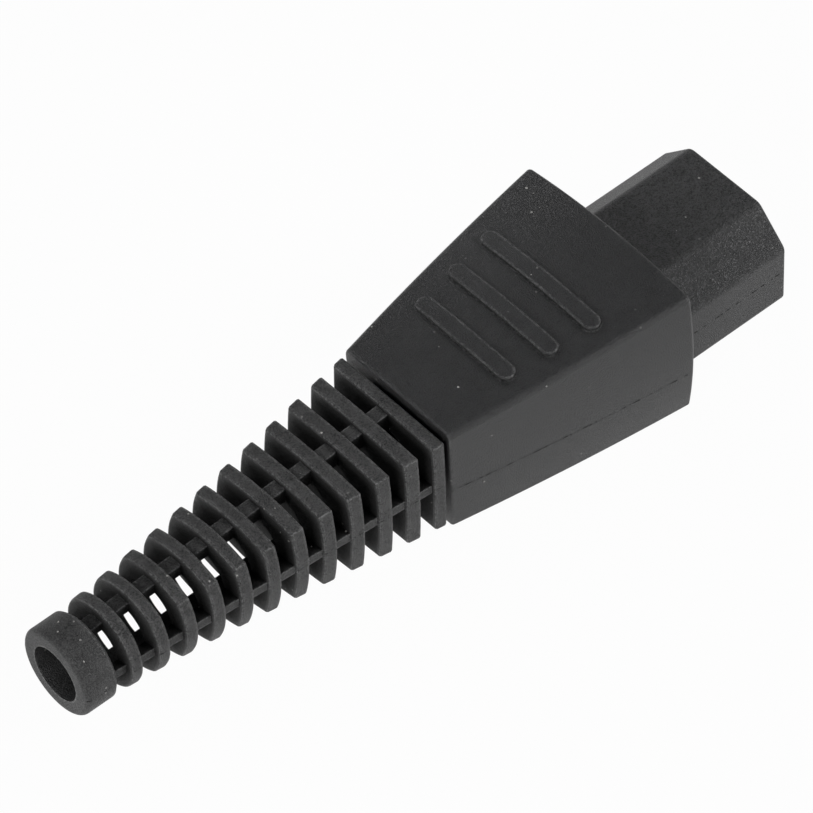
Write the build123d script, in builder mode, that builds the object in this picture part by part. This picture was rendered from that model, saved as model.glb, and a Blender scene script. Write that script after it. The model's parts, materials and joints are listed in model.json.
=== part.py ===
from build123d import *
from math import sqrt
import os

os.makedirs("parts", exist_ok=True)

# A rewireable appliance plug. A tapered grip, split into two screwed shells, holds a contact
# block whose nose stands out in front, and a slotted rubber boot that guards the cable behind.
# +X points out of the nose and +Z up. The origin lies on the surface that the plug rests on,
# under the grip's rear face. All sizes are in millimetres.

# Grip housing, from its rear face at x = 0 to its front face
grip_length = 38.0
grip_rear_width = 20.9
grip_front_width = 32.1
grip_bulge = 0.35
grip_rear_height = 18.6
grip_front_height = 21.8
front_crown = 1.3
rear_crown = 0.1
front_side_bow = 0.9
rear_side_bow = 0.1
parting_height = 7.65
shell_wall = 1.5
end_wall = 2.2
top_edge_radius = 1.0
bottom_edge_radius = 0.6
end_edge_radius = 0.5
fit_gap = 0.15

# Raised bars across the top of the grip
bar_count = 3
first_bar_x = 12.1
bar_pitch = 6.7
bar_width = 2.6
bar_height = 0.5
bar_side_margin = 3.2
bar_root = 0.4
bar_edge_radius = 0.22

# Nose of the contact block, which goes into an appliance inlet
nose_reach = 21.3
nose_width = 24.0
nose_height = 15.5
nose_bottom = 1.8
nose_chamfer = 5.2
nose_corner_radius = 1.0
nose_chamfer_radius = 1.7
nose_face_radius = 0.5
face_wall = 1.8
slot_width = 2.6
slot_height = 4.8

# Flange and terminal tray of the contact block, inside the grip
flange_lip = 1.0
flange_thickness = 2.8
tray_rear_x = 20.5
tray_width = 22.2
tray_height = 12.3
pocket_width = 5.8

# Contacts: a sleeve for each pin, and a tail that ends in a screw terminal
pole_spacing = 14.0
earth_offset = 4.0
sheet = 0.8
sleeve_width = 4.0
sleeve_height = 6.0
sleeve_length = 12.7
sleeve_seam = 0.4
sleeve_play = 0.3
terminal_x = 25.6
terminal_length = 8.2
terminal_width = 5.4
thread_collar_diameter = 4.6
thread_collar_height = 1.2

# Screws, washers and nuts
screw_diameter = 2.9
screw_hole_diameter = 3.0
clearance_hole_diameter = 3.3
screw_head_diameter = 5.4
screw_head_height = 1.8
screw_slot_width = 0.8
screw_slot_depth = 0.9
washer_length = 5.4
washer_width = 5.0
washer_thickness = 0.8
head_recess_diameter = 6.0
head_recess_depth = 2.4
nut_across_flats = 5.5
nut_height = 2.4
nut_pocket_gap = 0.1

# Housing screws, one each side of the cable room
housing_screw_x = 16.2
housing_screw_y = 8.4
housing_boss_radius = 3.9
housing_screw_length = 10.5

# Cord clamp: a bar screwed down on two posts, over a saddle web
clamp_x = 9.0
clamp_post_y = 7.2
clamp_post_radius = 2.3
clamp_post_height = 12.0
clamp_bar_length = 18.4
clamp_bar_width = 5.0
clamp_bar_thickness = 2.4
clamp_screw_length = 10.0
saddle_height = 7.0
saddle_web = 1.6
cable_diameter = 8.0

# Rubber bend-relief boot
boot_reach = 59.3
boot_axis_height = 9.3
boot_gap = 0.6
boot_front_width = 20.8
boot_front_height = 16.9
boot_corner_share = 0.985
boot_taper_power = 1.4
boot_rounding_power = 1.3
rib_count = 12
first_rib_width = 2.1
rib_gap = 2.0
rib_edge = 0.4
rim_step_share = 0.3
rib_root_depth = 2.3
front_rib_draft = 0.05
rear_rib_draft = 0.3
collar_diameter = 13.3
collar_length = 5.21
collar_edge_radius = 0.8
cable_hole_diameter = 8.4
boot_front_bore = 10.4
strut_front_reach_y = 9.8
strut_front_reach_z = 7.85
strut_rear_reach = 5.25
top_strut_width = 2.3
side_strut_height = 1.6

# Boot neck and flange, held in the grip's rear wall
neck_width = 15.0
neck_height = 12.4
neck_corner = 4.0
boot_flange_lip = 0.9
boot_flange_thickness = 2.3
stop_rib = 1.2

# Places worked out from the sizes above
nose_front_x = grip_length + nose_reach
front_wall_x = grip_length - end_wall
flange_rear_x = front_wall_x - fit_gap - flange_thickness
tray_bottom = shell_wall + fit_gap
boot_flange_x = end_wall + fit_gap
boot_stop_x = boot_flange_x + boot_flange_thickness + fit_gap
clamp_bar_top = clamp_post_height + clamp_bar_thickness
poles = {
    "live": (pole_spacing / 2, parting_height),
    "neutral": (-pole_spacing / 2, parting_height),
    "earth": (0, parting_height + earth_offset),
}
sides = {"left": 1, "right": -1}


def along_grip(x, rear, front):
    """Size at x of something that changes evenly from the grip's rear face to its front face."""
    return rear + (front - rear) * x / grip_length


def grip_width(x):
    share = x / grip_length
    return along_grip(x, grip_rear_width, grip_front_width) + 8 * grip_bulge * share * (1 - share)


def grip_section(x, inset=0, drop=0):
    """Crowned cross-section of the grip at x, moved inwards by the inset, its foot lower by a drop."""
    half = grip_width(x) / 2 - inset
    low = inset - drop
    high = along_grip(x, grip_rear_height, grip_front_height) - inset
    side_x = half + along_grip(x, rear_side_bow, front_side_bow)
    with BuildSketch(Plane.YZ.offset(x)) as section:
        with BuildLine():
            Line((-half, low), (half, low))
            ThreePointArc((half, low), (side_x, (low + high) / 2), (half, high))
            ThreePointArc((half, high), (0, high + along_grip(x, rear_crown, front_crown)), (-half, high))
            ThreePointArc((-half, high), (-side_x, (low + high) / 2), (-half, low))
        make_face()
    return section.sketch


def grip_body(rear_x, front_x, inset=0, drop=0):
    """Solid that runs smoothly through three cross-sections of the grip."""
    with BuildPart() as body:
        loft([grip_section(x, inset, drop) for x in (rear_x, (rear_x + front_x) / 2, front_x)])
    return body.part


def nose_section(x, lip=0, drop=0):
    """Nose outline with its two chamfered corners, wider by a lip and lower by a drop."""
    height = nose_height + lip + drop
    with BuildSketch(Plane.YZ.offset(x)) as section:
        with Locations((0, nose_bottom - drop + height / 2)):
            Rectangle(nose_width + 2 * lip, height)
        chamfer(section.vertices().group_by(Axis.Y)[-1], nose_chamfer)
        fillet(section.vertices().sort_by(Axis.Y)[-4:], nose_chamfer_radius)
        fillet(section.vertices().sort_by(Axis.Y)[:2], nose_corner_radius)
    return section.sketch


def boot_section(x, width, height, corner):
    """Rounded rectangle about the boot's axis."""
    with BuildSketch(Plane.YZ.offset(x)) as section:
        with Locations((0, boot_axis_height)):
            RectangleRounded(width, height, corner)
    return section.sketch


def block(x_low, x_high, y_low, y_high, z_low, z_high):
    """A plain rectangular block between two corners."""
    with BuildPart() as plain:
        with Locations(((x_low + x_high) / 2, (y_low + y_high) / 2, (z_low + z_high) / 2)):
            Box(x_high - x_low, y_high - y_low, z_high - z_low)
    return plain.part


# Ribs and screw columns inside the grip, trimmed to the middle of its wall
def inner_ribs():
    with BuildPart() as ribs:
        for side in sides.values():
            with Locations((housing_screw_x, side * housing_screw_y, grip_front_height / 2)):
                Cylinder(housing_boss_radius, grip_front_height)
            near = tray_width / 2 + fit_gap
            far = grip_front_width / 2 + front_side_bow
            stop_x = flange_rear_x - fit_gap
            low, high = sorted((side * near, side * far))
            add(block(stop_x - stop_rib, stop_x, low, high, 0, nose_bottom + nose_height))
        add(block(boot_stop_x, boot_stop_x + stop_rib, -grip_front_width / 2, grip_front_width / 2,
                  0, grip_front_height))
        extrude(boot_section(boot_stop_x, neck_width, neck_height, neck_corner),
                amount=stop_rib, mode=Mode.SUBTRACT)
        add(grip_body(0, grip_length, shell_wall / 2), mode=Mode.INTERSECT)
    return ribs.part


# The grip as one hollow tapered body with a flat foot, before it is split at its parting plane
with BuildPart() as housing:
    add(grip_body(0, grip_length, drop=bottom_edge_radius))
    split(bisect_by=Plane.XY, keep=Keep.TOP)
    long_edges = housing.edges().filter_by(lambda edge: abs((edge % 0.5).X) > 0.9)
    fillet(long_edges.group_by(Axis.Z)[-1], top_edge_radius)
    long_edges = housing.edges().filter_by(lambda edge: abs((edge % 0.5).X) > 0.9)
    fillet(long_edges.filter_by_position(Axis.Z, -1, 0.5), bottom_edge_radius)
    for end_face in (housing.faces().sort_by(Axis.X)[0], housing.faces().sort_by(Axis.X)[-1]):
        fillet(end_face.edges(), end_edge_radius)
    add(grip_body(end_wall, front_wall_x, shell_wall), mode=Mode.SUBTRACT)
    add(inner_ribs())
    extrude(nose_section(front_wall_x - end_wall / 2, fit_gap, fit_gap), amount=2 * end_wall,
            mode=Mode.SUBTRACT)
    extrude(boot_section(-end_wall / 2, neck_width + 2 * fit_gap, neck_height + 2 * fit_gap,
                         neck_corner + fit_gap), amount=2 * end_wall, mode=Mode.SUBTRACT)

# Raised grip bars, cut from upright prisms so that they follow the crown of the top
with BuildPart() as grip_bars:
    for number in range(bar_count):
        bar_x = first_bar_x + number * bar_pitch
        with BuildSketch(Plane.XY.offset(parting_height)) as bar_outline:
            with Locations((bar_x, 0)):
                SlotOverall(grip_width(bar_x) - 2 * bar_side_margin, bar_width, rotation=90)
        extrude(amount=grip_front_height)
    add(grip_body(0, grip_length, -bar_height), mode=Mode.INTERSECT)
    bar_tops = grip_bars.faces().filter_by(lambda face: face.normal_at().Z > 0.9)
    fillet(bar_tops.edges(), bar_edge_radius)
    add(grip_body(0, grip_length, bar_root), mode=Mode.SUBTRACT)

# Upper shell, with a hexagonal nut pocket in the foot of each screw column
with BuildPart() as upper_shell:
    add(housing.part)
    split(bisect_by=Plane.XY.offset(parting_height), keep=Keep.TOP)
    add(grip_bars.part)
    with BuildSketch(Plane.XY.offset(parting_height)) as nut_pockets:
        with Locations(*[(housing_screw_x, side * housing_screw_y) for side in sides.values()]):
            RegularPolygon(nut_across_flats / 2 + nut_pocket_gap, 6, major_radius=False)
    extrude(amount=nut_height + nut_pocket_gap, mode=Mode.SUBTRACT)
    with BuildSketch(Plane.XY.offset(parting_height)) as screw_ends:
        with Locations(*[(housing_screw_x, side * housing_screw_y) for side in sides.values()]):
            Circle(clearance_hole_diameter / 2)
    extrude(amount=housing_screw_length - parting_height + head_recess_depth + 2 * fit_gap,
            mode=Mode.SUBTRACT)
upper_shell.part.label = "upper_shell"
export_step(upper_shell.part, "parts/upper_shell.step")

# Lower shell, with the clamp posts, the saddle web and the recessed screw holes
with BuildPart() as lower_shell:
    add(housing.part)
    split(bisect_by=Plane.XY.offset(parting_height), keep=Keep.BOTTOM)
    with BuildSketch(Plane.XY.offset(shell_wall / 2)) as clamp_posts:
        with Locations(*[(clamp_x, side * clamp_post_y) for side in sides.values()]):
            Circle(clamp_post_radius)
    extrude(amount=clamp_post_height - shell_wall / 2)
    with BuildSketch(Plane.YZ.offset(clamp_x - saddle_web / 2)) as saddle:
        with Locations((0, (shell_wall / 2 + saddle_height) / 2)):
            Rectangle(2 * clamp_post_y, saddle_height - shell_wall / 2)
        with Locations((0, boot_axis_height)):
            Circle(cable_diameter / 2, mode=Mode.SUBTRACT)
    extrude(amount=saddle_web)
    with Locations(*[(clamp_x, side * clamp_post_y, clamp_post_height) for side in sides.values()]):
        Hole(screw_hole_diameter / 2, depth=clamp_screw_length - clamp_bar_thickness + 2 * fit_gap)
    underside = Plane.XY.rotated((180, 0, 0))
    with Locations(underside):
        with Locations(*[(housing_screw_x, side * housing_screw_y) for side in sides.values()]):
            CounterBoreHole(clearance_hole_diameter / 2, head_recess_diameter / 2, head_recess_depth,
                            depth=parting_height)
lower_shell.part.label = "lower_shell"
export_step(lower_shell.part, "parts/lower_shell.step")

# Contact block: nose, flange and terminal tray in one moulding
with BuildPart() as contact_block:
    extrude(nose_section(flange_rear_x), amount=nose_front_x - flange_rear_x)
    fillet(contact_block.faces().sort_by(Axis.X)[-1].edges(), nose_face_radius)
    extrude(nose_section(flange_rear_x, flange_lip), amount=flange_thickness)
    add(block(tray_rear_x, flange_rear_x, -tray_width / 2, tray_width / 2,
              tray_bottom, tray_bottom + tray_height))
    for y, z in poles.values():
        pocket_floor = z - sleeve_height / 2 - thread_collar_height - fit_gap
        add(block(tray_rear_x - 1, flange_rear_x, y - pocket_width / 2, y + pocket_width / 2,
                  pocket_floor, grip_front_height), mode=Mode.SUBTRACT)
        channel_y = sleeve_width / 2 + fit_gap
        channel_z = sleeve_height / 2 + fit_gap
        add(block(flange_rear_x - 1, nose_front_x - face_wall, y - channel_y, y + channel_y,
                  z - channel_z, z + channel_z), mode=Mode.SUBTRACT)
        add(block(nose_front_x - 2 * face_wall, nose_front_x + 1, y - slot_width / 2,
                  y + slot_width / 2, z - slot_height / 2, z + slot_height / 2), mode=Mode.SUBTRACT)
contact_block.part.label = "contact_block"
export_step(contact_block.part, "parts/contact_block.step")

sleeve_front_x = nose_front_x - face_wall - sleeve_play
sleeve_rear_x = sleeve_front_x - sleeve_length
terminal_rear_x = terminal_x - terminal_length / 2


def contact(y, z):
    """Folded brass contact: a seamed sleeve, a tail strip and a tapped terminal plate."""
    tail_bottom = z - sleeve_height / 2
    with BuildPart() as folded:
        with BuildSketch(Plane.YZ.offset(sleeve_rear_x)) as tube:
            with Locations((y, z)):
                Rectangle(sleeve_width, sleeve_height)
                Rectangle(sleeve_width - 2 * sheet, sleeve_height - 2 * sheet, mode=Mode.SUBTRACT)
            with Locations((y, z + sleeve_height / 2)):
                Rectangle(sleeve_seam, 4 * sheet, mode=Mode.SUBTRACT)
        extrude(amount=sleeve_length)
        add(block(terminal_rear_x, sleeve_rear_x, y - sleeve_width / 2, y + sleeve_width / 2,
                  tail_bottom, tail_bottom + sheet))
        add(block(terminal_rear_x, terminal_rear_x + terminal_length, y - terminal_width / 2,
                  y + terminal_width / 2, tail_bottom, tail_bottom + sheet))
        with BuildSketch(Plane.XY.offset(tail_bottom)) as collar:
            with Locations((terminal_x, y)):
                Circle(thread_collar_diameter / 2)
        extrude(amount=-thread_collar_height)
        with Locations((terminal_x, y, tail_bottom + sheet)):
            Hole(screw_hole_diameter / 2, depth=sheet + thread_collar_height)
    return folded.part


def slotted_screw(x, y, head_seat, length, up=1):
    """Cheese-head screw whose head rests at the seat height. It points down, or up if up is -1."""
    with BuildPart() as screw:
        with BuildSketch(Plane.XY.offset(head_seat)) as head:
            with Locations((x, y)):
                Circle(screw_head_diameter / 2)
        extrude(amount=up * screw_head_height)
        rim = screw.faces().sort_by(Axis.Z)[-1 if up > 0 else 0]
        chamfer(rim.edges(), screw_slot_width / 2)
        with BuildSketch(Plane.XY.offset(head_seat)) as shank:
            with Locations((x, y)):
                Circle(screw_diameter / 2)
        extrude(amount=-up * length)
        with BuildSketch(Plane.XY.offset(head_seat + up * screw_head_height)) as slot:
            with Locations((x, y)):
                Rectangle(screw_slot_width, 2 * screw_head_diameter)
        extrude(amount=-up * screw_slot_depth, mode=Mode.SUBTRACT)
    return screw.part


def clamp_washer(y, z):
    """Square washer that presses the wire on the terminal plate."""
    with BuildPart() as washer:
        with BuildSketch(Plane.XY.offset(z)) as plate:
            with Locations((terminal_x, y)):
                Rectangle(washer_length, washer_width)
                Circle(clearance_hole_diameter / 2, mode=Mode.SUBTRACT)
        extrude(amount=washer_thickness)
        fillet(washer.edges().filter_by(Axis.Z).filter_by(GeomType.LINE).sort_by(Axis.X)[:2], 0.5)
    return washer.part


# Contacts with their terminal screws and washers
for pole, (y, z) in poles.items():
    washer_bottom = z - sleeve_height / 2 + sheet
    pieces = {
        f"contact_{pole}": contact(y, z),
        f"terminal_washer_{pole}": clamp_washer(y, washer_bottom),
        f"terminal_screw_{pole}": slotted_screw(
            terminal_x, y, washer_bottom + washer_thickness,
            washer_thickness + sheet + thread_collar_height),
    }
    for name, piece in pieces.items():
        piece.label = name
        export_step(piece, f"parts/{name}.step")

# Cord clamp bar, notched on its underside for the round cable
with BuildPart() as cord_clamp_bar:
    with BuildSketch(Plane.XY.offset(clamp_post_height)) as bar:
        with Locations((clamp_x, 0)):
            SlotOverall(clamp_bar_length, clamp_bar_width, rotation=90)
        with Locations(*[(clamp_x, side * clamp_post_y) for side in sides.values()]):
            Circle(clearance_hole_diameter / 2, mode=Mode.SUBTRACT)
    extrude(amount=clamp_bar_thickness)
    with BuildSketch(Plane.YZ.offset(clamp_x - clamp_bar_width)) as cable_notch:
        with Locations((0, boot_axis_height)):
            Circle(cable_diameter / 2)
    extrude(amount=2 * clamp_bar_width, mode=Mode.SUBTRACT)
cord_clamp_bar.part.label = "cord_clamp_bar"
export_step(cord_clamp_bar.part, "parts/cord_clamp_bar.step")

# Clamp screws, housing screws and the nuts that the housing screws draw down
for hand, side in sides.items():
    with BuildPart() as nut:
        with BuildSketch(Plane.XY.offset(parting_height)) as hexagon:
            with Locations((housing_screw_x, side * housing_screw_y)):
                RegularPolygon(nut_across_flats / 2, 6, major_radius=False)
                Circle(screw_hole_diameter / 2, mode=Mode.SUBTRACT)
        extrude(amount=nut_height)
    pieces = {
        f"cord_clamp_screw_{hand}": slotted_screw(
            clamp_x, side * clamp_post_y, clamp_bar_top, clamp_screw_length),
        f"housing_screw_{hand}": slotted_screw(
            housing_screw_x, side * housing_screw_y, head_recess_depth, housing_screw_length, up=-1),
        f"housing_nut_{hand}": nut.part,
    }
    for name, piece in pieces.items():
        piece.label = name
        export_step(piece, f"parts/{name}.step")

# Boot: tapering ribs that turn from a near rectangle into a circle, on four struts
first_gap_x = -boot_gap - first_rib_width - rib_gap / 2
collar_x = collar_length - boot_reach
last_gap_x = collar_x + rib_gap / 2
rib_pitch = (first_gap_x - last_gap_x) / (rib_count - 1)


def rib_section(x, inset=0):
    """Outline of the ribs at x: four arcs that meet at corners which open out into a circle."""
    share = min(max((x + boot_gap) / (collar_x + boot_gap), 0), 1)
    taper = (1 - share) ** boot_taper_power
    half_y = (collar_diameter + (boot_front_width - collar_diameter) * taper) / 2 - inset
    half_z = (collar_diameter + (boot_front_height - collar_diameter) * taper) / 2 - inset
    corner = boot_corner_share - (boot_corner_share - sqrt(0.5)) * share ** boot_rounding_power
    y = half_y * corner
    low = boot_axis_height - half_z * corner
    high = boot_axis_height + half_z * corner
    with BuildSketch(Plane.YZ.offset(x)) as section:
        with BuildLine():
            ThreePointArc((y, low), (half_y, boot_axis_height), (y, high))
            ThreePointArc((y, high), (0, boot_axis_height + half_z), (-y, high))
            ThreePointArc((-y, high), (-half_y, boot_axis_height), (-y, low))
            ThreePointArc((-y, low), (0, boot_axis_height - half_z), (y, low))
        make_face()
    return section.sketch


with BuildPart() as bend_relief_boot:
    for number in range(rib_count):
        rib_rear_x = first_gap_x - number * rib_pitch + rib_gap / 2
        rib_front_x = rib_rear_x + (rib_pitch - rib_gap if number else first_rib_width)
        draft = front_rib_draft + (rear_rib_draft - front_rib_draft) * number / (rib_count - 1)
        rim_step = rib_edge * rim_step_share
        steps = [(0, rib_root_depth), (draft, rib_edge), (draft + rim_step, rim_step),
                 (draft + rib_edge, 0)]
        rear_half = [rib_section(rib_rear_x + step, inset) for step, inset in steps]
        front_half = [rib_section(rib_front_x - step, inset) for step, inset in reversed(steps)]
        loft(rear_half + front_half, ruled=True)
    with BuildSketch(Plane.YZ.offset(-boot_reach)) as collar:
        with Locations((0, boot_axis_height)):
            Circle(collar_diameter / 2)
    extrude(amount=boot_reach + collar_x)
    fillet(bend_relief_boot.edges().sort_by(Axis.X)[0], collar_edge_radius)
    collar_front = bend_relief_boot.edges().filter_by_position(Axis.X, collar_x - 0.01, collar_x + 0.01)
    chamfer(collar_front, rib_edge)
    strut_start_x = -boot_gap - rib_edge
    strut_end_x = collar_x - 2 * collar_edge_radius
    loft([boot_section(strut_end_x, 2 * strut_rear_reach, side_strut_height, 0.1),
          boot_section(strut_start_x, 2 * strut_front_reach_y, side_strut_height, 0.1)], ruled=True)
    loft([boot_section(strut_end_x, top_strut_width, 2 * strut_rear_reach, 0.1),
          boot_section(strut_start_x, top_strut_width, 2 * strut_front_reach_z, 0.1)], ruled=True)
    extrude(boot_section(-boot_gap - rib_edge, neck_width, neck_height, neck_corner),
            amount=boot_gap + rib_edge + boot_flange_x + boot_flange_thickness)
    extrude(boot_section(boot_flange_x, neck_width + 2 * boot_flange_lip, neck_height + 2 * boot_flange_lip,
                         neck_corner), amount=boot_flange_thickness)
    with BuildSketch(Plane.XZ) as bore_profile:
        with BuildLine():
            bore_front_x = boot_flange_x + boot_flange_thickness
            Polyline((-boot_reach - 1, boot_axis_height),
                     (-boot_reach - 1, boot_axis_height + cable_hole_diameter / 2),
                     (collar_x, boot_axis_height + cable_hole_diameter / 2),
                     (bore_front_x + 1, boot_axis_height + boot_front_bore / 2),
                     (bore_front_x + 1, boot_axis_height), close=True)
        make_face()
    revolve(axis=Axis((0, 0, boot_axis_height), (1, 0, 0)), mode=Mode.SUBTRACT)
bend_relief_boot.part.label = "bend_relief_boot"
export_step(bend_relief_boot.part, "parts/bend_relief_boot.step")
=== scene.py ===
# %% [markdown]
# A rewireable plug for a power tool, in black plastic and rubber. The solids come from an
# imported CAD model, in metres, and stay where they are. This lesson gives them their finishes,
# paints dark dashes for the shade in the seams that the moulds left, and sets up the studio and the
# camera.

import json
from math import cos, radians, sin

import bmesh
import bpy
from mathutils import Matrix, Vector


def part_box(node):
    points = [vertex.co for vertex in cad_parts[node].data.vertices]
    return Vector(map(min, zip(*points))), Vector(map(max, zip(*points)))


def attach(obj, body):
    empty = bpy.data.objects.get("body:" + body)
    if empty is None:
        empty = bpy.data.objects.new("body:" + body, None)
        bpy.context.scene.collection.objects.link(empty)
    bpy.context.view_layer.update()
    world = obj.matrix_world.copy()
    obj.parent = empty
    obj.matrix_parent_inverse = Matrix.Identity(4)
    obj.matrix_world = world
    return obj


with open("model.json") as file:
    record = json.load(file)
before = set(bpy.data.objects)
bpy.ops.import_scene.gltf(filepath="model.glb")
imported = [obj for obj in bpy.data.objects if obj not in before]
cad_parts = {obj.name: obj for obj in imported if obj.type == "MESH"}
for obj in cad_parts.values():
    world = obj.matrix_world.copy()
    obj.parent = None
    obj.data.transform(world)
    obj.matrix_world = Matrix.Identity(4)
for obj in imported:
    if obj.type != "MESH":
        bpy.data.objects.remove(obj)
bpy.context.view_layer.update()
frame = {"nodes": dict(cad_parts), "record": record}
nodes = frame["nodes"]
MM = 0.001

# %% [markdown]
# The photograph was taken with a long lens from behind the boot, above it and to its right,
# so the plug runs from the lower left to the upper right. The camera is placed by the point
# it looks at, its distance, its azimuth and elevation about that point, and a small roll.

# %% Camera
look_at = Vector((5.29, 4.54, 7.645)) * MM
camera_distance = 0.9587
camera_azimuth = radians(230.331)
camera_elevation = radians(49.407)
camera_roll = radians(-2.2007)


def direction(azimuth, elevation):
    """Unit vector that points away from the plug at this azimuth and elevation, in radians."""
    return Vector((cos(elevation) * cos(azimuth), cos(elevation) * sin(azimuth), sin(elevation)))


to_camera = direction(camera_azimuth, camera_elevation)
camera_data = bpy.data.cameras.new("camera")
camera_data.lens = 317.4
camera_data.sensor_width = 36.0
camera_data.clip_start = 0.05
camera = bpy.data.objects.new("camera", camera_data)
bpy.context.scene.collection.objects.link(camera)
facing = (-to_camera).to_track_quat("-Z", "Y").to_matrix().to_4x4()
place = Matrix.Translation(look_at + to_camera * camera_distance)
camera.matrix_world = place @ facing @ Matrix.Rotation(camera_roll, 4, "Z")
bpy.context.scene.camera = camera
print("camera at", [round(value, 4) for value in camera.location])

# %% [markdown]
# Black plastic shows its form mostly by what it reflects. Large soft boxes all round light the
# sides, the chamfers and the boot, while the flat top, which reflects the space between them,
# stays dark. Two smaller boxes, one on each side, draw the thin lines along edges and bars, and
# a tiny one close by makes the left half of the top paler than the right. The camera sees only
# what the boxes light, never the boxes themselves.

# %% Soft boxes
studio_distance = 0.7


def soft_box(name, azimuth, elevation, size, power, distance=studio_distance):
    """A square area lamp that faces the plug, placed by its azimuth and elevation in degrees."""
    lamp = bpy.data.lights.new(name, "AREA")
    lamp.shape = "SQUARE"
    lamp.size = size
    lamp.energy = power
    box = bpy.data.objects.new(name, lamp)
    bpy.context.scene.collection.objects.link(box)
    away = direction(radians(azimuth), radians(elevation))
    turned = away.to_track_quat("Z", "Y").to_matrix().to_4x4()
    box.matrix_world = Matrix.Translation(look_at + away * distance) @ turned
    box.visible_camera = False
    print(name, "at", [round(value, 3) for value in box.matrix_world.translation])


soft_box("right_box", azimuth=-54, elevation=36, size=0.28, power=2.2)
soft_box("right_edge_box", azimuth=-65, elevation=8, size=0.18, power=1.2)
soft_box("front_box", azimuth=-10, elevation=25, size=0.4, power=0.8)
soft_box("left_box", azimuth=158, elevation=24, size=0.5, power=0.8)
soft_box("left_edge_box", azimuth=143, elevation=30, size=0.2, power=0.9)
soft_box("rear_box", azimuth=200, elevation=20, size=0.35, power=2.8)
soft_box("near_box", azimuth=55, elevation=40, size=0.04, power=0.015, distance=0.089)

# %% [markdown]
# A studio is never quite dark between its lamps, so the world adds a little cool light. The
# Standard view transform shows a colour as it is written, and so black plastic stays black.

# %% World and view transform
world = bpy.data.worlds.new("studio")
bpy.context.scene.world = world
world.use_nodes = True
background = world.node_tree.nodes["Background"]
background.inputs["Color"].default_value = (0.95, 0.97, 1.0, 1.0)
background.inputs["Strength"].default_value = 0.08
bpy.context.scene.view_settings.view_transform = "Standard"
print("world strength", round(background.inputs["Strength"].default_value, 3))

# %% [markdown]
# Shader trees are quicker to read when each node is made, set and linked in one call. These
# helpers take numbers or sockets for the inputs, and the rest of the lesson builds on them.

# %% Node helpers


def add_node(tree, kind, inputs=None, **settings):
    """Add a node, set its settings, and fill each input with a value or a link."""
    node = tree.nodes.new(kind)
    for name, value in settings.items():
        setattr(node, name, value)
    for name, value in (inputs or {}).items():
        if isinstance(value, bpy.types.NodeSocket):
            tree.links.new(value, node.inputs[name])
        else:
            node.inputs[name].default_value = value
    return node


def maths(tree, operation, first, second=0.0):
    return add_node(tree, "ShaderNodeMath", {0: first, 1: second}, operation=operation).outputs[0]


def ramp(tree, value, low, high, to_low=0.0, to_high=1.0):
    """Smooth step of a value: to_low below low, to_high above high."""
    inputs = {"Value": value, "From Min": low, "From Max": high, "To Min": to_low, "To Max": to_high}
    return add_node(tree, "ShaderNodeMapRange", inputs, interpolation_type="SMOOTHSTEP").outputs[0]


def noise(tree, point, per_metre, detail=2.0, roughness=0.5):
    inputs = {"Vector": point, "Scale": per_metre, "Detail": detail, "Roughness": roughness}
    return add_node(tree, "ShaderNodeTexNoise", inputs).outputs["Fac"]


def tint(tree, share, plain, other):
    """Colour that goes from plain to other as the share goes from 0 to 1."""
    mix = add_node(tree, "ShaderNodeMix", {"Factor": share}, data_type="RGBA")
    # A Mix node keeps a pair of sockets for each kind of data: its colours are inputs 6 and 7.
    for place, colour in ((6, plain), (7, other)):
        if isinstance(colour, bpy.types.NodeSocket):
            tree.links.new(colour, mix.inputs[place])
        else:
            mix.inputs[place].default_value = (*colour, 1.0)
    return mix.outputs[2]


# %% [markdown]
# Grain, wear and dust are wanted in several materials, so each of them is a node group that is
# built once and placed with its own values. Two more helpers make a group and place it.

# %% Group helpers


def new_group(name, inputs, outputs):
    """An empty shader group with number inputs and number outputs, and its two end nodes."""
    group = bpy.data.node_groups.new(name, "ShaderNodeTree")
    for label, value in inputs.items():
        socket = group.interface.new_socket(label, in_out="INPUT", socket_type="NodeSocketFloat")
        socket.default_value = value
    for label in outputs:
        group.interface.new_socket(label, in_out="OUTPUT", socket_type="NodeSocketFloat")
    entry = group.nodes.new("NodeGroupInput")
    leave = group.nodes.new("NodeGroupOutput")
    return group, entry, leave


def use_group(tree, group, **values):
    """Place a group in a tree. Underscores in the value names stand for spaces."""
    node = add_node(tree, "ShaderNodeGroup", node_tree=group)
    for name, value in values.items():
        node.inputs[name.replace("_", " ").capitalize()].default_value = value
    return node


# %% [markdown]
# A mould is spark eroded or blasted, so moulded plastic has a fine grain all over, and the
# melt cools unevenly, which leaves broad, faint clouds in its sheen. One group gives both:
# Height for the bump and Cloud for small changes of colour and roughness.

# %% Moulded grain group
moulded_grain, entry, leave = new_group(
    "moulded_grain", {"Grains per metre": 5000.0, "Clouds per metre": 260.0}, ["Height", "Cloud"])
point = moulded_grain.nodes.new("ShaderNodeTexCoord").outputs["Object"]
fine = noise(moulded_grain, point, entry.outputs["Grains per metre"], detail=3.0, roughness=0.6)
cloud = noise(moulded_grain, point, entry.outputs["Clouds per metre"], detail=4.0, roughness=0.6)
moulded_grain.links.new(ramp(moulded_grain, fine, 0.36, 0.64), leave.inputs["Height"])
moulded_grain.links.new(ramp(moulded_grain, cloud, 0.32, 0.68), leave.inputs["Cloud"])
print("group", moulded_grain.name)

# %% [markdown]
# Black plastic and rubber always carry a few specks of dust and lint. Each cell of a Voronoi
# texture holds one point, and only a small share of the cells, picked by their own random
# colour, shows it. A little noise bends the cells, so that no speck is a plain disc, and most
# specks lie on faces that look upwards.

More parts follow.
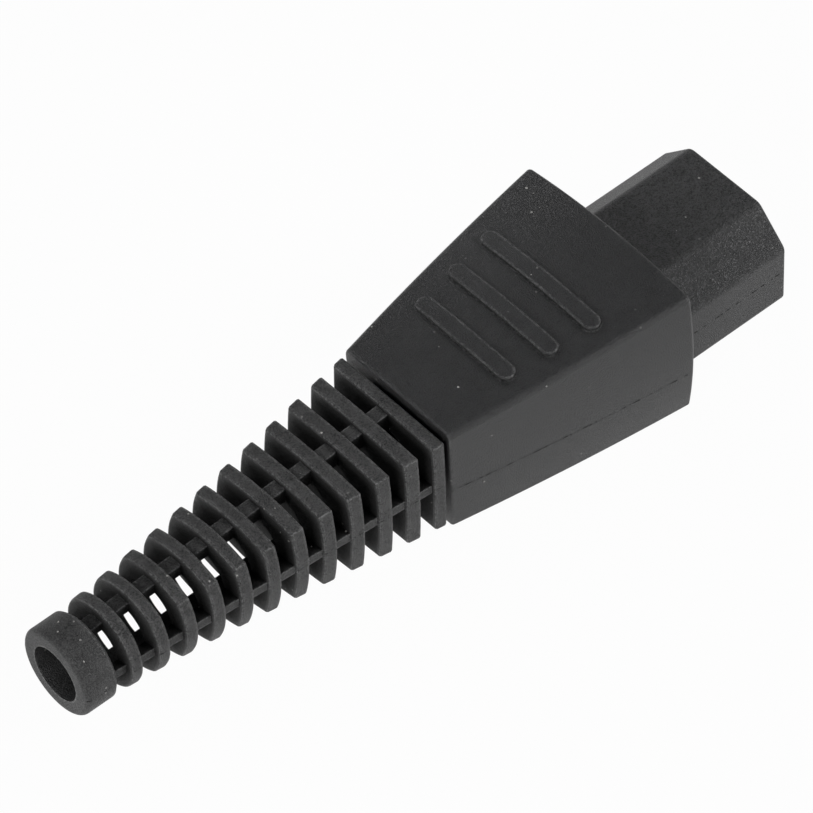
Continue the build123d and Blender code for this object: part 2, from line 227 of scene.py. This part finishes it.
# %% Dust group
bends_per_metre = 2500.0
lint_bend = 0.25 * MM
dust, entry, leave = new_group(
    "dust_specks", {"Specks per metre": 800.0, "Share": 0.06, "Size": 0.13}, ["Mask"])
point = dust.nodes.new("ShaderNodeTexCoord").outputs["Object"]
wander = add_node(dust, "ShaderNodeTexNoise", {"Vector": point, "Scale": bends_per_metre})
bent = add_node(dust, "ShaderNodeVectorMath", {0: wander.outputs["Color"]}, operation="SCALE")
bent.inputs["Scale"].default_value = lint_bend
moved = add_node(dust, "ShaderNodeVectorMath", {0: point, 1: bent.outputs[0]}, operation="ADD")
cell_inputs = {"Vector": moved.outputs[0], "Scale": entry.outputs["Specks per metre"]}
cells = add_node(dust, "ShaderNodeTexVoronoi", cell_inputs)
near = maths(dust, "LESS_THAN", cells.outputs["Distance"], entry.outputs["Size"])
pick = add_node(dust, "ShaderNodeSeparateColor", {"Color": cells.outputs["Color"]})
chosen = maths(dust, "LESS_THAN", pick.outputs[0], entry.outputs["Share"])
normal = dust.nodes.new("ShaderNodeNewGeometry").outputs["Normal"]
tilt = add_node(dust, "ShaderNodeSeparateXYZ", {0: normal}).outputs[2]
upward = ramp(dust, tilt, low=-0.3, high=0.6, to_low=0.25, to_high=1.0)
strength = maths(dust, "MULTIPLY", pick.outputs[1], upward)
mask = maths(dust, "MULTIPLY", maths(dust, "MULTIPLY", near, chosen), strength)
dust.links.new(mask, leave.inputs["Mask"])
print("group", dust.name)

# %% [markdown]
# Hands and boxes rub the edges of a moulded part first: there the grain is worn down and the
# edge turns a little smoother. On the plastics the edge is also painted paler, partly for that
# wear and partly as a painted highlight along it. A Bevel node finds the edges, because its
# softened normal leaves the true one near them, and a noise breaks the band up. Where two shells
# meet flush, at the height of the joint, nothing rubs, so the mask fades out there. A joint far
# below the plug leaves the mask whole.

# %% Rubbed and highlit edge group
no_joint = -1.0
flush_below = 0.4 * MM
rubbed_above = 0.9 * MM
chips_per_metre = 2600.0
rubbed_and_highlit, entry, leave = new_group(
    "rubbed_and_highlit_edges", {"Width": 0.5 * MM, "Wear": 0.5, "Joint": no_joint}, ["Mask"])
soft = add_node(rubbed_and_highlit, "ShaderNodeBevel", {"Radius": entry.outputs["Width"]}, samples=4)
normal = rubbed_and_highlit.nodes.new("ShaderNodeNewGeometry").outputs["Normal"]
both = {0: soft.outputs[0], 1: normal}
agree = add_node(rubbed_and_highlit, "ShaderNodeVectorMath", both, operation="DOT_PRODUCT").outputs["Value"]
edge = ramp(rubbed_and_highlit, agree, low=0.9, high=1.0, to_low=1.0, to_high=0.0)
point = rubbed_and_highlit.nodes.new("ShaderNodeTexCoord").outputs["Object"]
chips = noise(rubbed_and_highlit, point, chips_per_metre, detail=3.0, roughness=0.7)
broken = ramp(rubbed_and_highlit, chips, low=0.4, high=0.6)
height = add_node(rubbed_and_highlit, "ShaderNodeSeparateXYZ", {0: point}).outputs[2]
from_joint = maths(rubbed_and_highlit, "ABSOLUTE", maths(rubbed_and_highlit, "SUBTRACT", height, entry.outputs["Joint"]))
off_joint = ramp(rubbed_and_highlit, from_joint, flush_below, rubbed_above)
clear = maths(rubbed_and_highlit, "MULTIPLY", off_joint, entry.outputs["Wear"])
mask = maths(rubbed_and_highlit, "MULTIPLY", maths(rubbed_and_highlit, "MULTIPLY", edge, broken), clear)
rubbed_and_highlit.links.new(mask, leave.inputs["Mask"])
print("group", rubbed_and_highlit.name)

# %% [markdown]
# Slots and bores are painted near black, as the shade that falls in them, and made duller.
# An Ambient Occlusion node that looks at the solid itself finds those places.

# %% Painted recess shade group
recess_shade, entry, leave = new_group("painted_recess_shade", {"Reach": 8 * MM}, ["Mask"])
reach = {"Distance": entry.outputs["Reach"]}
open_sky = add_node(recess_shade, "ShaderNodeAmbientOcclusion", reach, samples=8, only_local=True)
sunk = ramp(recess_shade, open_sky.outputs["AO"], low=0.45, high=0.9, to_low=1.0, to_high=0.0)
recess_shade.links.new(sunk, leave.inputs["Mask"])
print("group", recess_shade.name)

# %% [markdown]
# The paper under the plug looks plain white to the camera and in every reflection. It is made
# so by its own glow, and the little that is left of its surface takes light from the lamps and
# a faint shadow under the plug. It lies a hair below the plug's flat foot, because two faces at
# one height would flicker through each other.

# %% Floor
floor_gap = 0.02 * MM
floor_size = 6.0
bpy.ops.object.select_all(action="DESELECT")
bpy.ops.mesh.primitive_plane_add(size=floor_size, location=(0, 0, -floor_gap))
floor = bpy.context.active_object
floor.name = "floor"

# %% Paper
paper_glow = 0.97
paper = bpy.data.materials.new("white_paper")
paper.use_nodes = True
tree = paper.node_tree
surface = tree.nodes["Principled BSDF"]
surface.inputs["Base Color"].default_value = (0.5, 0.5, 0.5, 1)
surface.inputs["Roughness"].default_value = 0.9
glow = add_node(tree, "ShaderNodeEmission", {"Strength": 1.0})
path = tree.nodes.new("ShaderNodeLightPath")
direct = maths(tree, "MAXIMUM", path.outputs["Is Camera Ray"], path.outputs["Is Glossy Ray"])
seen = maths(tree, "MAXIMUM", direct, path.outputs["Is Transmission Ray"])
share = maths(tree, "MULTIPLY", seen, paper_glow)
both = {"Fac": share, 1: surface.outputs[0], 2: glow.outputs[0]}
blend = add_node(tree, "ShaderNodeMixShader", both)
tree.links.new(blend.outputs["Shader"], tree.nodes["Material Output"].inputs["Surface"])
floor.data.materials.append(paper)
print("floor", floor_size, "m wide, with", paper.name)

# %% [markdown]
# Both plastics and the rubber are one recipe with different values: a black base with faint
# clouds, pale edges that are partly rubbed and partly a painted highlight, slots and bores painted
# near black as shade, grey dust, and a bump from the grain. A tint goes from one colour to the next
# wherever a mask says so. The same masks set the roughness: rubbed edges are a little smoother,
# and slots and dust are duller.

# %% Moulded recipe
dust_colour = (0.5, 0.49, 0.47)
# Near black for painted shade in slots, bores and seams.
painted_shade_black = (0.002, 0.002, 0.002)
housing_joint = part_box("upper_shell")[0][2]
print("the shells meet at a height of", round(housing_joint, 5))


def moulded(name, base, pale, worn_and_highlit, roughness, gloss, clouds, grain_depth, specks, wear_and_highlight, joint=no_joint):
    """Black plastic or rubber as it comes from the mould, with some use and dust, pale edges that are
    partly a painted highlight, and painted shade in slots and bores.
    """
    material = bpy.data.materials.new(name)
    material.use_nodes = True
    tree = material.node_tree
    grain = use_group(tree, moulded_grain, Clouds_per_metre=clouds)
    edges = use_group(tree, rubbed_and_highlit, Wear=wear_and_highlight, Joint=joint)
    # Mask of the slots and bores where shade is painted.
    recess_shade_mask = use_group(tree, recess_shade).outputs["Mask"]
    lint = use_group(tree, dust, Share=specks)
    fine = maths(tree, "MULTIPLY", grain.outputs["Height"], 0.65)
    broad = maths(tree, "MULTIPLY", grain.outputs["Cloud"], 0.35)
    grained = tint(tree, maths(tree, "ADD", fine, broad), base, pale)
    # Pale edges: partly wear, partly a painted highlight along the edges.
    edged = tint(tree, edges.outputs["Mask"], grained, worn_and_highlit)
    # Painted shade: slots and bores turn near black.
    sunk = tint(tree, recess_shade_mask, edged, painted_shade_black)
    dusty = tint(tree, lint.outputs["Mask"], sunk, dust_colour)
    sheen = ramp(tree, grain.outputs["Cloud"], 0.0, 1.0, roughness - 0.02, roughness + 0.03)
    polished = maths(tree, "MULTIPLY", edges.outputs["Mask"], 0.15)
    smoother = maths(tree, "SUBTRACT", sheen, polished)
    duller = maths(tree, "MAXIMUM", smoother, maths(tree, "MULTIPLY", recess_shade_mask, 0.85))
    rougher = maths(tree, "MAXIMUM", duller, maths(tree, "MULTIPLY", lint.outputs["Mask"], 0.9))
    relief = {"Height": grain.outputs["Height"], "Distance": grain_depth}
    bump = add_node(tree, "ShaderNodeBump", relief)
    shader = tree.nodes["Principled BSDF"]
    shader.inputs["Specular IOR Level"].default_value = gloss
    tree.links.new(dusty, shader.inputs["Base Color"])
    tree.links.new(rougher, shader.inputs["Roughness"])
    tree.links.new(bump.outputs["Normal"], shader.inputs["Normal"])
    print("material", name)
    return material


# %% [markdown]
# The grip is a satin plastic whose edges are the most rubbed and carry the brightest painted
# highlight. The nose is a harder, more matt plastic with a coarse, mottled skin, and the boot is
# rubber, paler, duller and dustier. The clamp bar lies inside the grip, where no dust and hardly a
# finger reaches it.

# %% Moulded materials
grip_plastic = moulded(
    "grip_plastic", base=(0.003, 0.003, 0.0035), pale=(0.014, 0.014, 0.015), worn_and_highlit=(0.3, 0.3, 0.3),
    roughness=0.33, gloss=0.5, clouds=300, grain_depth=0.05 * MM, specks=0.1, wear_and_highlight=0.8,
    joint=housing_joint)
nose_plastic = moulded(
    "nose_plastic", base=(0.002, 0.002, 0.0025), pale=(0.065, 0.065, 0.066), worn_and_highlit=(0.16, 0.16, 0.16),
    roughness=0.44, gloss=0.5, clouds=1300, grain_depth=0.12 * MM, specks=0.1, wear_and_highlight=0.6)
boot_rubber = moulded(
    "boot_rubber", base=(0.01, 0.01, 0.0105), pale=(0.075, 0.075, 0.075), worn_and_highlit=(0.3, 0.3, 0.3),
    roughness=0.48, gloss=0.3, clouds=500, grain_depth=0.08 * MM, specks=0.2, wear_and_highlight=0.7)
clamp_plastic = moulded(
    "clamp_plastic", base=(0.006, 0.006, 0.0065), pale=(0.022, 0.022, 0.022), worn_and_highlit=(0.07, 0.07, 0.07),
    roughness=0.5, gloss=0.45, clouds=300, grain_depth=0.04 * MM, specks=0.0, wear_and_highlight=0.3)

# %% [markdown]
# The contacts are folded from rolled brass strip, and the screws, nuts and washers are zinc
# plated steel. Rolling leaves lines along the strip, so that noise is stretched along the
# plug, while plating leaves small dull clouds. Rubbed edges stay bright.

# %% Metal recipe
line_depth = 0.004 * MM
lines_per_metre = 4000.0
patches_per_metre = 700.0


def metal(name, bright, dull, stretch, roughness):
    """Bare or plated metal with its rolling or turning lines and dull patches."""
    material = bpy.data.materials.new(name)
    material.use_nodes = True
    tree = material.node_tree
    point = tree.nodes.new("ShaderNodeTexCoord").outputs["Object"]
    stretched = add_node(tree, "ShaderNodeMapping", {"Vector": point, "Scale": stretch})
    lines = noise(tree, stretched.outputs[0], lines_per_metre, detail=3.0)
    clouds = noise(tree, point, patches_per_metre, detail=4.0)
    patches = ramp(tree, clouds, low=0.4, high=0.7)
    edges = use_group(tree, rubbed_and_highlit, Width=0.15 * MM, Wear=0.8)
    patchy = tint(tree, patches, bright, dull)
    colour = tint(tree, edges.outputs["Mask"], patchy, bright)
    rough = ramp(tree, patches, 0.0, 1.0, roughness, roughness + 0.2)
    streaks = maths(tree, "MULTIPLY", maths(tree, "SUBTRACT", lines, 0.5), 0.25)
    streaky = maths(tree, "ADD", rough, streaks)
    bump = add_node(tree, "ShaderNodeBump", {"Height": lines, "Distance": line_depth})
    shader = tree.nodes["Principled BSDF"]
    shader.inputs["Metallic"].default_value = 1.0
    tree.links.new(colour, shader.inputs["Base Color"])
    tree.links.new(streaky, shader.inputs["Roughness"])
    tree.links.new(bump.outputs["Normal"], shader.inputs["Normal"])
    print("material", name)
    return material


# %% [markdown]
# Lines run along an axis whose scale is small: along the plug in the rolled brass and in the
# washers, and up and down in the screws and nuts, which were drawn from rod.

# %% Metals
contact_brass = metal(
    "contact_brass", bright=(0.80, 0.61, 0.30), dull=(0.55, 0.40, 0.19), stretch=(0.06, 1.0, 1.0),
    roughness=0.26)
washer_steel = metal(
    "washer_steel", bright=(0.70, 0.71, 0.70), dull=(0.52, 0.53, 0.52), stretch=(0.1, 1.0, 1.0),
    roughness=0.3)
screw_steel = metal(
    "screw_steel", bright=(0.68, 0.68, 0.69), dull=(0.48, 0.48, 0.47), stretch=(1.0, 1.0, 0.08),
    roughness=0.28)

# %% [markdown]
# The record names a material slot for every solid, so one loop can dress them all. Only the
# finish changes: no solid is moved or reshaped.

# %% Finishes on the solids
finishes = {
    "grip_plastic": grip_plastic, "nose_plastic": nose_plastic, "boot_rubber": boot_rubber,
    "clamp_plastic": clamp_plastic, "contact_brass": contact_brass, "washer_steel": washer_steel,
    "screw_steel": screw_steel,
}
for part in frame["record"]["subparts"]:
    node = nodes[part["node"]]
    node.data.materials.clear()
    node.data.materials.append(finishes[part["material_slot"]])
print(len(nodes), "solids dressed")

# %% [markdown]
# Where two halves of a housing or of a mould meet, a fine seam runs along the part, and a thin
# near-black strip paints the shade in it. A noise that changes only along the plug breaks it into
# dashes of uneven length, and the painted shade shows only in the dashes.

# %% Broken line group
broken_line, entry, leave = new_group(
    "broken_line", {"Dashes per metre": 650.0, "Cover": 0.5}, ["Mask"])
point = broken_line.nodes.new("ShaderNodeTexCoord").outputs["Object"]
place = add_node(broken_line, "ShaderNodeSeparateXYZ", {0: point})
along = add_node(broken_line, "ShaderNodeCombineXYZ", {0: place.outputs[0]})
often = entry.outputs["Dashes per metre"]
wave = noise(broken_line, along.outputs[0], often, detail=3.0, roughness=0.7)
bare = maths(broken_line, "SUBTRACT", 1.0, entry.outputs["Cover"])
filled = maths(broken_line, "SUBTRACT", wave, bare)
fade = 0.04
broken_line.links.new(ramp(broken_line, filled, -fade, fade), leave.inputs["Mask"])
print("group", broken_line.name)

# %% Painted seam shade material
painted_seam_shade = bpy.data.materials.new("painted_seam_shade")
painted_seam_shade.use_nodes = True
tree = painted_seam_shade.node_tree
dashes = use_group(tree, broken_line, Cover=0.47)
grain = use_group(tree, moulded_grain)
shader = tree.nodes["Principled BSDF"]
shader.inputs["Specular IOR Level"].default_value = 0.1
# Painted shade: near-black dashes stand where the seam's shade falls.
seam_shade_colour = tint(tree, grain.outputs["Height"], painted_shade_black, (0.012, 0.011, 0.01))
tree.links.new(seam_shade_colour, shader.inputs["Base Color"])
seam_shade_roughness = ramp(tree, grain.outputs["Cloud"], 0.0, 1.0, 0.8, 0.95)
tree.links.new(seam_shade_roughness, shader.inputs["Roughness"])
tree.links.new(dashes.outputs["Mask"], shader.inputs["Alpha"])
print("material", painted_seam_shade.name)

# %% [markdown]
# The line is made from the solid's own skin, so it follows every bow and rib below it. A copy
# is cut down to a narrow band about the joint, and only the side walls that face outwards are
# kept. On the boot the line runs over the ribs only: a strut is known by the rib close behind
# it, which a ray cast backwards meets. Solidify then gives the band a thickness.

# %% Parting line recipe
line_proud = 0.015 * MM
close_behind = 3 * MM


def parting_line(name, node_name, low, high, rear):
    """Band of a solid's outer side walls between two heights, in front of a rear limit."""
    source = nodes[node_name]
    line = bpy.data.objects.new(name, source.data.copy())
    bpy.context.scene.collection.objects.link(line)
    bpy.ops.object.select_all(action="DESELECT")
    line.select_set(True)
    bpy.context.view_layer.objects.active = line
    bpy.ops.object.mode_set(mode="EDIT")
    bpy.ops.mesh.select_all(action="SELECT")
    bpy.ops.mesh.remove_doubles(threshold=0.001 * MM)
    cuts = [((0, 0, low), (0, 0, -1)), ((0, 0, high), (0, 0, 1)), ((rear, 0, 0), (-1, 0, 0))]
    for point, outwards in cuts:
        bpy.ops.mesh.select_all(action="SELECT")
        bpy.ops.mesh.bisect(plane_co=point, plane_no=outwards, clear_outer=True)
    bpy.ops.object.mode_set(mode="OBJECT")
    kept = bmesh.new()
    kept.from_mesh(line.data)
    inner = []
    for face in kept.faces:
        centre = face.calc_center_median()
        start = centre + face.normal * line_proud
        hidden = source.ray_cast(start, face.normal)[0]
        behind_rib = source.ray_cast(start, (-1, 0, 0), distance=close_behind)[0]
        if hidden or behind_rib or abs(face.normal.y) < 0.5:
            inner.append(face)
    bmesh.ops.delete(kept, geom=inner, context="FACES")
    kept.to_mesh(line.data)
    kept.free()
    wall = line.modifiers.new("wall", "SOLIDIFY")
    wall.thickness = line_proud
    wall.offset = 1.0
    bpy.ops.object.modifier_apply(modifier=wall.name)
    line.data.materials.clear()
    line.data.materials.append(painted_seam_shade)
    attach(line, "root")
    print(name, len(line.data.polygons), "faces")


# %% [markdown]
# The grip's line lies on the lower shell, just below the joint. The nose's line goes on in
# front of the grip, just above the same height, and the boot's line runs at half the boot's
# height.

# %% Parting lines
line_width = 0.11 * MM
grip_rear = 0
nose_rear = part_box("upper_shell")[1][0]
boot_low, boot_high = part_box("bend_relief_boot")
boot_rear = boot_low[0]
boot_joint = (boot_low[2] + boot_high[2]) / 2
parting_line(
    "grip_parting_line", "lower_shell",
    low=housing_joint - line_width, high=housing_joint, rear=grip_rear)
parting_line(
    "nose_parting_line", "contact_block",
    low=housing_joint, high=housing_joint + line_width, rear=nose_rear)
parting_line(
    "boot_parting_line", "bend_relief_boot",
    low=boot_joint, high=boot_joint + line_width, rear=boot_rear)
